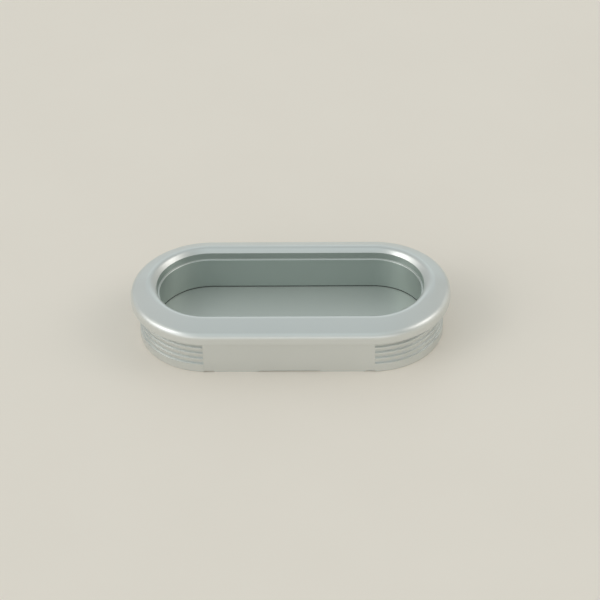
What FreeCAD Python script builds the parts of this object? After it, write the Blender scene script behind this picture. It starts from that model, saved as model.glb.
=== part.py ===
import FreeCAD, Part
import math
import os

# Recessed pull handle: an oval finger pull that is pressed into a pocket made by two drilled holes.
# Millimetres. The origin is the middle of the lower edge, +X runs along the oval, +Z leaves the pocket.
# A section is drawn as (r, z): r is the distance from the oval's centre line, z the height.

# Rim that covers the edge of the pocket
overall_length = 80.0
overall_width = 39.0
total_height = 14.5
rim_breadth = 6.55
rim_overhang = 2.0
rim_thickness = 4.5
rim_edge_round = 1.8
rim_under_bevel = 0.2

# The rim's top is gently crowned: it falls outwards, less beside the lip than beside the outer round
slope_at_lip_deg = 15.0
slope_at_edge_deg = 21.5

# Mouth of the recess: the rounded lip ends in a crisp edge, over a wall that narrows down to the ledge
lip_round = 1.6
lip_edge_deg = 52.0
lip_depth = 2.25
mouth_draft = 0.3
ledge_width = 0.4
ledge_bevel = 0.1

# Recess below the ledge, wider at the floor for the fingertips
finger_undercut = 0.9
recess_wall = 1.3
joint_line = 0.2

# Floor plate, set into a rebate at the back of the recess wall
plate_thickness = 2.0
plate_setback = 1.1
plate_seat = 0.6
plate_clearance = 0.08
plate_edge_chamfer = 0.3

# Skirt that goes into the pocket
skirt_wall = 1.3
skirt_edge_bevel = 0.2
rim_skin = 2.4
hollow_bevel = 0.5

# Barbed ends: a plain band, saw-tooth grooves and a plain collar below the rim. The straight sides are flat
flat_past_end_centre = 0.75
barb_bite = 0.15
groove_depth = 0.4
groove_count = 4
barb_land = 0.25
band_height = 2.45
collar_height = 1.0

# Lower edge of the long sides: two pads a side, with shallow gaps between and beside them
pad_length = 11.1
pad_end_gap = 2.5
pad_height = 0.3

# Webs that tie the skirt to the recess wall
web_thickness = 1.0
webs_per_end = 3
web_fan_deg = 120.0

# Worked out from the sizes above
end_centre = (overall_length - overall_width) / 2
rim_radius = overall_width / 2
lip_radius = rim_radius - rim_breadth
mouth_radius = lip_radius - mouth_draft
ledge_radius = mouth_radius - ledge_width
floor_radius = ledge_radius + finger_undercut
seat_radius = floor_radius + plate_seat
flat_offset = rim_radius - rim_overhang
flat_length = 2 * (end_centre + flat_past_end_centre)
pad_spacing = flat_length - 2 * pad_end_gap - pad_length
tip_radius = flat_offset + barb_bite
skirt_inner_radius = flat_offset - skirt_wall
wall_back_radius = ledge_radius + recess_wall
rim_under_z = total_height - rim_thickness
groove_pitch = (rim_under_z - collar_height - band_height + barb_land) / groove_count
ledge_z = total_height - lip_depth
plate_under_z = plate_setback
floor_z = plate_under_z + plate_thickness
hollow_top_z = total_height - rim_skin
far = overall_length


def outline(corners):
    """A closed wire through corners (r, z, rounding): straight runs joined by tangent arcs."""
    points = [FreeCAD.Vector(0, r, z) for r, z, _ in corners]
    runs = []
    edges = []
    for i, (_, _, rounding) in enumerate(corners):
        here = points[i]
        if rounding == 0:
            runs.append((here, here))
            continue
        back = (points[i - 1] - here).normalize()
        ahead = (points[(i + 1) % len(points)] - here).normalize()
        half_angle = back.getAngle(ahead) / 2
        reach = rounding / math.tan(half_angle)
        centre = here + (back + ahead).normalize() * (rounding / math.sin(half_angle))
        middle = centre + (here - centre).normalize() * rounding
        start = here + back * reach
        end = here + ahead * reach
        edges.append(Part.Arc(start, middle, end).toShape())
        runs.append((start, end))
    for i, (_, end) in enumerate(runs):
        start_next = runs[(i + 1) % len(runs)][0]
        if end.distanceToPoint(start_next) > 0.0001:
            edges.append(Part.makeLine(end, start_next))
    return Part.Wire(Part.__sortEdges__(edges))


def oval_ring(corners):
    """The section of corners carried round the oval: two straight sides and two half turns."""
    section = Part.Face(outline(corners))
    at_start = section.translated(FreeCAD.Vector(-end_centre, 0, 0))
    side = at_start.extrude(FreeCAD.Vector(2 * end_centre, 0, 0))
    at_end = section.translated(FreeCAD.Vector(end_centre, 0, 0))
    end = at_end.revolve(FreeCAD.Vector(end_centre, 0, 0), FreeCAD.Vector(0, 0, 1), -180)
    half = [side, end]
    other = [piece.rotated(FreeCAD.Vector(0, 0, 0), FreeCAD.Vector(0, 0, 1), 180) for piece in half]
    return side.fuse([end] + other).removeSplitter()


def oval_plate(radius, low, high):
    """A flat-topped oval slab of the given radius at its ends."""
    height = high - low
    bar = Part.makeBox(2 * end_centre, 2 * radius, height, FreeCAD.Vector(-end_centre, -radius, low))
    ends = [Part.makeCylinder(radius, height, FreeCAD.Vector(x, 0, low)) for x in (-end_centre, end_centre)]
    return bar.fuse(ends).removeSplitter()


def rounded_corner(centre_r, centre_z, radius, from_deg, to_deg):
    """The corner whose rounding is the arc between two directions, measured outwards from straight up."""
    middle = math.radians((from_deg + to_deg) / 2)
    reach = radius / math.cos(math.radians((to_deg - from_deg) / 2))
    return (centre_r + reach * math.sin(middle), centre_z + reach * math.cos(middle), radius)


def rim_top():
    """Lip, crown and outer round of the rim, each on a tangent to the next."""
    at_lip = math.radians(slope_at_lip_deg)
    at_edge = math.radians(slope_at_edge_deg)
    lip_edge = math.radians(lip_edge_deg)
    lip_r = lip_radius + lip_round * math.sin(lip_edge)
    lip_z = total_height - lip_round
    crown_start_r = lip_r + lip_round * math.sin(at_lip)
    crown_end_r = rim_radius - rim_edge_round * (1 - math.sin(at_edge))
    crown_radius = (crown_end_r - crown_start_r) / (math.sin(at_edge) - math.sin(at_lip))
    crown_r = crown_start_r - crown_radius * math.sin(at_lip)
    crown_z = lip_z + (lip_round - crown_radius) * math.cos(at_lip)
    edge_z = crown_z + (crown_radius - rim_edge_round) * math.cos(at_edge)
    return [
        (lip_radius, lip_z + lip_round * math.cos(lip_edge), 0),
        rounded_corner(lip_r, lip_z, lip_round, -lip_edge_deg, slope_at_lip_deg),
        rounded_corner(crown_r, crown_z, crown_radius, slope_at_lip_deg, slope_at_edge_deg),
        rounded_corner(rim_radius - rim_edge_round, edge_z, rim_edge_round, slope_at_edge_deg, 90),
    ]


def moulded_ring():
    """Rim, recess wall and skirt in one section, hollow from behind between wall and skirt."""
    return oval_ring([
        (ledge_radius, ledge_z - ledge_bevel, 0),
        (ledge_radius + ledge_bevel, ledge_z, 0),
        (mouth_radius, ledge_z, 0),
        *rim_top(),
        (rim_radius, rim_under_z + rim_under_bevel, 0),
        (rim_radius - rim_under_bevel, rim_under_z, 0),
        (tip_radius, rim_under_z, 0),
        (tip_radius, skirt_edge_bevel, 0),
        (tip_radius - skirt_edge_bevel, 0, 0),
        (skirt_inner_radius, 0, 0),
        (skirt_inner_radius, hollow_top_z - hollow_bevel, 0),
        (skirt_inner_radius - hollow_bevel, hollow_top_z, 0),
        (wall_back_radius + hollow_bevel, hollow_top_z, 0),
        (wall_back_radius, hollow_top_z - hollow_bevel, 0),
        (seat_radius + recess_wall, floor_z, 0),
        (seat_radius + recess_wall, plate_under_z, 0),
        (seat_radius, plate_under_z, 0),
        (seat_radius, floor_z, 0),
        (floor_radius + joint_line, floor_z, 0),
        (floor_radius, floor_z + joint_line, 0),
    ])


def web_space():
    """What the webs fill: the hollow down to the floor's level, and half of the walls on both sides."""
    in_skirt = skirt_inner_radius + skirt_wall / 2
    return oval_ring([
        (ledge_radius + recess_wall / 2, hollow_top_z, 0),
        (in_skirt, hollow_top_z, 0),
        (in_skirt, floor_z, 0),
        (seat_radius + recess_wall / 2, floor_z, 0),
    ])


def webs():
    """Radial webs: a fan at each end, and one over each pad on the long sides."""
    bars = []
    for i in range(webs_per_end):
        angle = web_fan_deg * (i / (webs_per_end - 1) - 0.5)
        corner = FreeCAD.Vector(end_centre, -web_thickness / 2, 0)
        bar = Part.makeBox(rim_radius, web_thickness, far, corner)
        bar.rotate(FreeCAD.Vector(end_centre, 0, 0), FreeCAD.Vector(0, 0, 1), angle)
        bars.append(bar)
        bars.append(bar.rotated(FreeCAD.Vector(0, 0, 0), FreeCAD.Vector(0, 0, 1), 180))
    for x in (-pad_spacing / 2, pad_spacing / 2):
        corner = FreeCAD.Vector(x - web_thickness / 2, -rim_radius, 0)
        bars.append(Part.makeBox(web_thickness, overall_width, far, corner))
    return web_space().common(Part.makeCompound(bars))


def groove_cutter():
    """What is cut away round both ends: grooves with a ledge below and a slope above."""
    root = tip_radius - groove_depth
    outside = rim_radius
    corners = [(outside, band_height, 0)]
    for i in range(groove_count):
        ledge = band_height + i * groove_pitch
        crest = ledge + groove_pitch - barb_land
        if i > 0:
            corners.append((tip_radius, ledge, 0))
        corners.append((root, ledge, 0))
        corners.append((tip_radius, crest, 0))
    corners.append((outside, crest, 0))
    section = Part.Face(outline(corners)).translated(FreeCAD.Vector(end_centre, 0, 0))
    end = section.revolve(FreeCAD.Vector(end_centre, 0, 0), FreeCAD.Vector(0, 0, 1), -180)
    beyond_flats = Part.makeBox(far, far, far, FreeCAD.Vector(flat_length / 2, -far / 2, 0))
    end = end.common(beyond_flats)
    return end.fuse(end.rotated(FreeCAD.Vector(0, 0, 0), FreeCAD.Vector(0, 0, 1), 180))


def flat_cutter():
    """The slabs outside the two flat sides, up to the underside of the rim."""
    corner = FreeCAD.Vector(-flat_length / 2, flat_offset, 0)
    slab = Part.makeBox(flat_length, rim_radius, rim_under_z, corner)
    return slab.fuse(slab.rotated(FreeCAD.Vector(0, 0, 0), FreeCAD.Vector(0, 0, 1), 180))


def pad_gaps():
    """The shallow gaps in the skirt's lower edge, beside and between the pads."""
    start = FreeCAD.Vector(-flat_length / 2, -overall_width / 2, 0)
    band = Part.makeBox(flat_length, overall_width, pad_height, start)
    pads = []
    for x in (-pad_spacing / 2, pad_spacing / 2):
        corner = FreeCAD.Vector(x - pad_length / 2, -overall_width / 2, 0)
        pads.append(Part.makeBox(pad_length, overall_width, pad_height, corner))
    return band.cut(pads)


def handle_body():
    body = moulded_ring().fuse(webs())
    body = body.cut([groove_cutter(), flat_cutter(), pad_gaps()])
    return body.removeSplitter()


def floor_plate():
    """The floor, face to face with the rebate's shoulder and clear of its side."""
    plate = oval_plate(seat_radius - plate_clearance, plate_under_z, floor_z)
    under = [edge for edge in plate.Edges if edge.BoundBox.ZMax < plate_under_z + 0.01]
    return plate.makeChamfer(plate_edge_chamfer, under)


nodes = {
    "handle_body": handle_body(),
    "floor_plate": floor_plate(),
}

os.makedirs("parts", exist_ok=True)
for name, shape in nodes.items():
    assert shape.isValid() and len(shape.Solids) == 1, name
    shape.Solids[0].exportStep(os.path.join("parts", name + ".step"))
    print(name, round(shape.Volume, 1), "mm3,", len(shape.Faces), "faces")
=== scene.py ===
import bpy
import math
from mathutils import Matrix, Vector

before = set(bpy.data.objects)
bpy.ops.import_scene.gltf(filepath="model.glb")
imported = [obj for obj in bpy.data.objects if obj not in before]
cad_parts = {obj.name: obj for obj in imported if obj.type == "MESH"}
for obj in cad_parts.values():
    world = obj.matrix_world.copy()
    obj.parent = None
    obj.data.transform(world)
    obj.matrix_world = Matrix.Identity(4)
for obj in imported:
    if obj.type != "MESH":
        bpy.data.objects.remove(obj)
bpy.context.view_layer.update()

# The view of the photograph, in degrees and metres. The target is level with the top of the rim
VIEW_ELEVATION = 37.858
VIEW_TURN = -2.873
VIEW_ROLL = -1.971
VIEW_DISTANCE = 0.6634
VIEW_TARGET = (0.00233, -0.007244, 0.0144)
SENSOR_WIDTH = 36
LENS = 160.96
NEAREST, FARTHEST = 0.01, 20

# Where the paint changes, in metres. A reach is the distance from the oval's spine, and a height
# is the one above the table. The lip's roll fades in between two places across the oval
END_CENTRE = 0.0205
RECESS_REACH = 0.0136
LIP_EDGE_HEIGHT = 0.01385
LEDGE_HEIGHT = 0.01227
LEDGE_TOLERANCE = 0.00012
JOINT_REACH = 0.01311
JOINT_HEIGHT = 0.00332
LIP_ROLL_REACH = (0.0129, 0.0159)
LIP_ROLL_FADE = (-0.008, 0.004)

# The paint's patterns, each with its scale and its detail, and how strongly they show
GRAIN_PATTERN = (1800, 1)
CLOUD_PATTERN = (60, 3)
PEEL_PATTERN = (900, 2)
CLOUD_IN_TONE = 0.05
CLOUD_IN_ROUGHNESS = 0.08
PEEL_HEIGHT = 0.00002

# The recess is rougher than the rim and is painted darker as shade. Its ledge keeps less of that
# painted shade because it catches the light, and the joint round its floor gets a dark painted
# shade
INSIDE_ROUGHER = 0.08
# How much of the recess's painted shade is lifted off the ledge, which faces up and catches the
# light
LEDGE_SHADE_LIFT = 0.6
# The painted shade in the crevice of the joint round the recess floor
JOINT_PAINTED_SHADE = (0.25, 0.26, 0.25, 1)

METALLIC = 0.72
BODY_PAINT = {
    "Tone": (0.70, 0.72, 0.703, 1),
    "Gloss Roughness": 0.29,
    "Grain": 0.012,
    "Peel": 0.03,
    "Lip Roll": 0.0014,
    # The colour of the painted shade inside the recess
    "Inside Painted Shade": (0.62, 0.675, 0.65, 1),
}
FLOOR_PAINT = {
    "Tone": (0.69, 0.73, 0.70, 1),
    "Gloss Roughness": 0.43,
    "Grain": 0.012,
    "Peel": 0.04,
}

# The table top, in metres, with its two tones
TABLE_HALF_WIDTH = 3.0
TABLE_PATTERN = (30, 3)
TABLE_TONES = ((0.855, 0.79, 0.71, 1), (0.885, 0.82, 0.74, 1))
TABLE_ROUGHNESS = 0.7
TABLE_SHINE = 0.3

# Name, azimuth, elevation, tightness and colour of each soft light round the table
ROOM_LEVEL = (0.175, 0.20, 0.185, 1)
SOFT_LIGHTS = (
    ("left_window", -78, 24, 12, (1.33, 1.29, 1.25, 1)),
    ("left_lamp", -61, 36, 45, (2.1, 2.1, 2.07, 1)),
    ("right_lamp", 85, 38, 24, (1.65, 1.58, 1.54, 1)),
    ("front_left_wall", -35, 5, 11, (1.06, 1.05, 1.06, 1)),
    ("front_wall", 14, 0, 12, (0.98, 0.96, 0.97, 1)),
    ("front_ceiling", 0, 56, 12, (0.42, 0.49, 0.52, 1)),
    ("right_wall", 88, 0, 3.6, (0.61, 0.57, 0.52, 1)),
    ("back_and_ceiling", 200, 35, 1.5, (0.42, 0.41, 0.415, 1)),
    ("back_wall", 180, 22, 14, (0.26, 0.33, 0.35, 1)),
    ("ceiling", 180, 72, 10, (0.07, 0.11, 0.13, 1)),
)


def make_camera():
    """Looks at the pull from the front, a little turned and a little rolled."""
    rise = math.radians(VIEW_ELEVATION)
    turn = Matrix.Rotation(math.radians(-VIEW_TURN), 3, "Z")
    forward = turn @ Vector((0, math.cos(rise), -math.sin(rise)))
    level_right = turn @ Vector((1, 0, 0))
    level_up = level_right.cross(forward)
    roll = math.radians(VIEW_ROLL)
    right = math.cos(roll) * level_right + math.sin(roll) * level_up
    up = right.cross(forward)
    axes = Matrix((right, up, -forward)).transposed().to_4x4()
    place = turn @ Vector(VIEW_TARGET) - forward * VIEW_DISTANCE

    data = bpy.data.cameras.new("camera")
    data.sensor_width = SENSOR_WIDTH
    data.lens = LENS
    data.clip_start = NEAREST
    data.clip_end = FARTHEST
    camera = bpy.data.objects.new("camera", data)
    camera.matrix_world = Matrix.Translation(place) @ axes
    bpy.context.scene.collection.objects.link(camera)
    bpy.context.scene.camera = camera


def new_material(name):
    """A material with nothing but its shader. Gives the material, its node tree and the shader."""
    material = bpy.data.materials.new(name)
    material.use_nodes = True
    tree = material.node_tree
    tree.nodes.clear()
    output = tree.nodes.new("ShaderNodeOutputMaterial")
    principled = tree.nodes.new("ShaderNodeBsdfPrincipled")
    tree.links.new(principled.outputs["BSDF"], output.inputs["Surface"])
    return material, tree, principled


def new_group(name, inputs, outputs):
    """A node group from lists of sockets: name and kind, and for an input its usual value."""
    tree = bpy.data.node_groups.new(name, "ShaderNodeTree")
    for label, kind, usual in inputs:
        socket = tree.interface.new_socket(name=label, in_out="INPUT", socket_type=kind)
        if usual is not None:
            socket.default_value = usual
    for label, kind in outputs:
        tree.interface.new_socket(name=label, in_out="OUTPUT", socket_type=kind)
    given = tree.nodes.new("NodeGroupInput").outputs
    result = tree.nodes.new("NodeGroupOutput").inputs
    return tree, given, result


def feed(tree, value, socket):
    """Links a node's output to the socket, or puts a plain value on it."""
    if isinstance(value, bpy.types.NodeSocket):
        tree.links.new(value, socket)
    else:
        socket.default_value = value


def math_node(tree, operation, *values):
    node = tree.nodes.new("ShaderNodeMath")
    node.operation = operation
    for value, socket in zip(values, node.inputs):
        feed(tree, value, socket)
    return node.outputs[0]


def vector_node(tree, operation, *values):
    node = tree.nodes.new("ShaderNodeVectorMath")
    node.operation = operation
    for value, socket in zip(values, node.inputs):
        feed(tree, value, socket)
    return node.outputs


def noise(tree, place, pattern):
    """A soft random pattern from 0 to 1, given by its scale and its detail."""
    texture = tree.nodes.new("ShaderNodeTexNoise")
    texture.inputs["Scale"].default_value, texture.inputs["Detail"].default_value = pattern
    tree.links.new(place, texture.inputs["Vector"])
    return texture.outputs["Fac"]


def smooth_step(tree, value, span):
    """Rises softly from 0 to 1 over the span."""
    ramp = tree.nodes.new("ShaderNodeMapRange")
    ramp.interpolation_type = "SMOOTHSTEP"
    ramp.inputs["From Min"].default_value, ramp.inputs["From Max"].default_value = span
    tree.links.new(value, ramp.inputs["Value"])
    return ramp.outputs["Result"]


def tinted(tree, mask, colour, tint):
    """The colour, multiplied by the tint where the mask is 1."""
    mix = tree.nodes.new("ShaderNodeMix")
    mix.data_type = "RGBA"
    mix.blend_type = "MULTIPLY"
    feed(tree, mask, mix.inputs["Factor"])
    feed(tree, colour, mix.inputs["A"])
    feed(tree, tint, mix.inputs["B"])
    return mix.outputs["Result"]


def reach_from_spine(tree, along, across):
    """How far a point is from the oval's spine, the line between the centres of its round ends."""
    past_centre = math_node(tree, "SUBTRACT", math_node(tree, "ABSOLUTE", along), END_CENTRE)
    past_centre = math_node(tree, "MAXIMUM", past_centre, 0.0)
    squared = math_node(tree, "POWER", across, 2.0)
    squared = math_node(tree, "MULTIPLY_ADD", past_centre, past_centre, squared)
    return math_node(tree, "SQRT", squared)


def satin_paint_group():
    """Silver paint on moulded plastic, with a soft grain, slow clouds and a faint orange peel."""
    tree, given, result = new_group(
        "satin_paint",
        (("Tone", "NodeSocketColor", (0.6, 0.6, 0.6, 1)),
         ("Gloss Roughness", "NodeSocketFloat", 0.4),
         ("Grain", "NodeSocketFloat", 0.04),
         ("Peel", "NodeSocketFloat", 0.1),
         ("Lip Roll", "NodeSocketFloat", 0.0),
         ("Inside Painted Shade", "NodeSocketColor", (1, 1, 1, 1))),
        (("Color", "NodeSocketColor"),
         ("Roughness", "NodeSocketFloat"),
         ("Normal", "NodeSocketVector")))
    place = tree.nodes.new("ShaderNodeTexCoord").outputs["Object"]
    split = tree.nodes.new("ShaderNodeSeparateXYZ")
    tree.links.new(place, split.inputs[0])
    along, across, height = split.outputs
    reach = reach_from_spine(tree, along, across)

    # The inside of the recess, where shade is painted, less on the ledge that catches the light,
    # and the joint round its floor, where a darker shade is painted
    below_lip = math_node(tree, "LESS_THAN", height, LIP_EDGE_HEIGHT)
    inside = math_node(tree, "LESS_THAN", reach, RECESS_REACH)
    inside = math_node(tree, "MULTIPLY", inside, below_lip)
    # Painted light: the ledge faces up and catches the light, so less of the painted shade lies on
    # it
    on_ledge = math_node(tree, "COMPARE", height, LEDGE_HEIGHT, LEDGE_TOLERANCE)
    shade_kept = math_node(tree, "MULTIPLY_ADD", on_ledge, -LEDGE_SHADE_LIFT, 1.0)
    inside = math_node(tree, "MULTIPLY", inside, shade_kept)
    # Painted shade in the crevice where the recess wall meets the floor plate
    low = math_node(tree, "LESS_THAN", height, JOINT_HEIGHT)
    far = math_node(tree, "GREATER_THAN", reach, JOINT_REACH)
    joint_shade = math_node(tree, "MULTIPLY", math_node(tree, "MULTIPLY", low, far), inside)

    grain = math_node(tree, "SUBTRACT", noise(tree, place, GRAIN_PATTERN), 0.5)
    cloud = math_node(tree, "SUBTRACT", noise(tree, place, CLOUD_PATTERN), 0.5)
    change = math_node(tree, "MULTIPLY", grain, given["Grain"])
    change = math_node(tree, "MULTIPLY_ADD", cloud, CLOUD_IN_TONE, change)
    level = math_node(tree, "ADD", change, 1.0)
    # Painted shade: the inside of the recess is multiplied by the darker inside colour
    colour = tinted(tree, inside, given["Tone"], given["Inside Painted Shade"])
    # Painted shade: the joint round the floor is darkened further
    colour = tinted(tree, joint_shade, colour, JOINT_PAINTED_SHADE)
    scale = tree.nodes.new("ShaderNodeVectorMath")
    scale.operation = "SCALE"
    tree.links.new(colour, scale.inputs[0])
    tree.links.new(level, scale.inputs["Scale"])
    tree.links.new(scale.outputs[0], result["Color"])

    rough = math_node(tree, "MULTIPLY_ADD", cloud, CLOUD_IN_ROUGHNESS, given["Gloss Roughness"])
    rough = math_node(tree, "MULTIPLY_ADD", inside, INSIDE_ROUGHER, rough)
    tree.links.new(rough, result["Roughness"])

    # The heights are in metres: the orange peel, and the lip's roll round the back and the ends
    peel = math_node(tree, "MULTIPLY", noise(tree, place, PEEL_PATTERN), PEEL_HEIGHT)
    peel = math_node(tree, "MULTIPLY", peel, given["Peel"])
    roll = smooth_step(tree, reach, LIP_ROLL_REACH)
    roll = math_node(tree, "MULTIPLY", roll, smooth_step(tree, across, LIP_ROLL_FADE))
    bump = tree.nodes.new("ShaderNodeBump")
    bump.inputs["Distance"].default_value = 1.0
    raised = math_node(tree, "MULTIPLY_ADD", roll, given["Lip Roll"], peel)
    tree.links.new(raised, bump.inputs["Height"])
    tree.links.new(bump.outputs["Normal"], result["Normal"])
    return tree


def satin_paint(name, group, settings):
    material, tree, principled = new_material(name)
    paint = tree.nodes.new("ShaderNodeGroup")
    paint.node_tree = group
    for label, value in settings.items():
        paint.inputs[label].default_value = value
    tree.links.new(paint.outputs["Color"], principled.inputs["Base Color"])
    tree.links.new(paint.outputs["Roughness"], principled.inputs["Roughness"])
    tree.links.new(paint.outputs["Normal"], principled.inputs["Normal"])
    principled.inputs["Metallic"].default_value = METALLIC
    return material


def dress(node, material):
    """Gives a node of the frame its finish."""
    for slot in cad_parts[node].material_slots:
        slot.material = material


def make_floor():
    """A plain pale table top."""
    half = TABLE_HALF_WIDTH
    mesh = bpy.data.meshes.new("floor")
    corners = [(-half, -half, 0), (half, -half, 0), (half, half, 0), (-half, half, 0)]
    mesh.from_pydata(corners, [], [(0, 1, 2, 3)])
    floor = bpy.data.objects.new("floor", mesh)
    bpy.context.scene.collection.objects.link(floor)
    material, tree, principled = new_material("pale_table")
    place = tree.nodes.new("ShaderNodeTexCoord").outputs["Object"]
    ramp = tree.nodes.new("ShaderNodeValToRGB")
    for stop, tone in zip(ramp.color_ramp.elements, TABLE_TONES):
        stop.color = tone
    tree.links.new(noise(tree, place, TABLE_PATTERN), ramp.inputs["Fac"])
    tree.links.new(ramp.outputs["Color"], principled.inputs["Base Color"])
    principled.inputs["Roughness"].default_value = TABLE_ROUGHNESS
    principled.inputs["Specular IOR Level"].default_value = TABLE_SHINE
    mesh.materials.append(material)


def aim(azimuth, elevation):
    """The direction of a light in degrees. Azimuth 0 is the front, 90 the right, -90 the left."""
    turn, rise = math.radians(azimuth), math.radians(elevation)
    level = math.cos(rise)
    return Vector((math.sin(turn) * level, -math.cos(turn) * level, math.sin(rise)))


def glow_group():
    """A soft light that fades away on all sides of its direction, over the light under it."""
    tree, given, result = new_group(
        "glow",
        (("Direction", "NodeSocketVector", None),
         ("Tightness", "NodeSocketFloat", 10),
         ("Light", "NodeSocketColor", None),
         ("Under", "NodeSocketColor", None)),
        (("Color", "NodeSocketColor"),))
    place = tree.nodes.new("ShaderNodeTexCoord").outputs["Generated"]
    near = vector_node(tree, "DOT_PRODUCT", place, given["Direction"])["Value"]
    away = math_node(tree, "SUBTRACT", near, 1.0)
    away = math_node(tree, "MULTIPLY", away, given["Tightness"])
    fade = math_node(tree, "EXPONENT", away)
    lit = vector_node(tree, "MULTIPLY_ADD", given["Light"], fade, given["Under"])[0]
    tree.links.new(lit, result["Color"])
    return tree


def make_room():
    """Soft light from windows and pale walls all round the table."""
    world = bpy.data.worlds.new("room")
    bpy.context.scene.world = world
    world.use_nodes = True
    tree = world.node_tree
    group = glow_group()
    total = ROOM_LEVEL
    for name, azimuth, elevation, tightness, light in SOFT_LIGHTS:
        glow = tree.nodes.new("ShaderNodeGroup")
        glow.node_tree = group
        glow.label = name
        glow.inputs["Direction"].default_value = aim(azimuth, elevation)
        glow.inputs["Tightness"].default_value = tightness
        glow.inputs["Light"].default_value = light
        feed(tree, total, glow.inputs["Under"])
        total = glow.outputs["Color"]
    tree.links.new(total, tree.nodes["Background"].inputs["Color"])


make_camera()
paint_group = satin_paint_group()
dress("handle_body", satin_paint("satin_silver_body", paint_group, BODY_PAINT))
dress("floor_plate", satin_paint("satin_silver_floor", paint_group, FLOOR_PAINT))
make_floor()
make_room()
bpy.context.scene.view_settings.view_transform = "Standard"
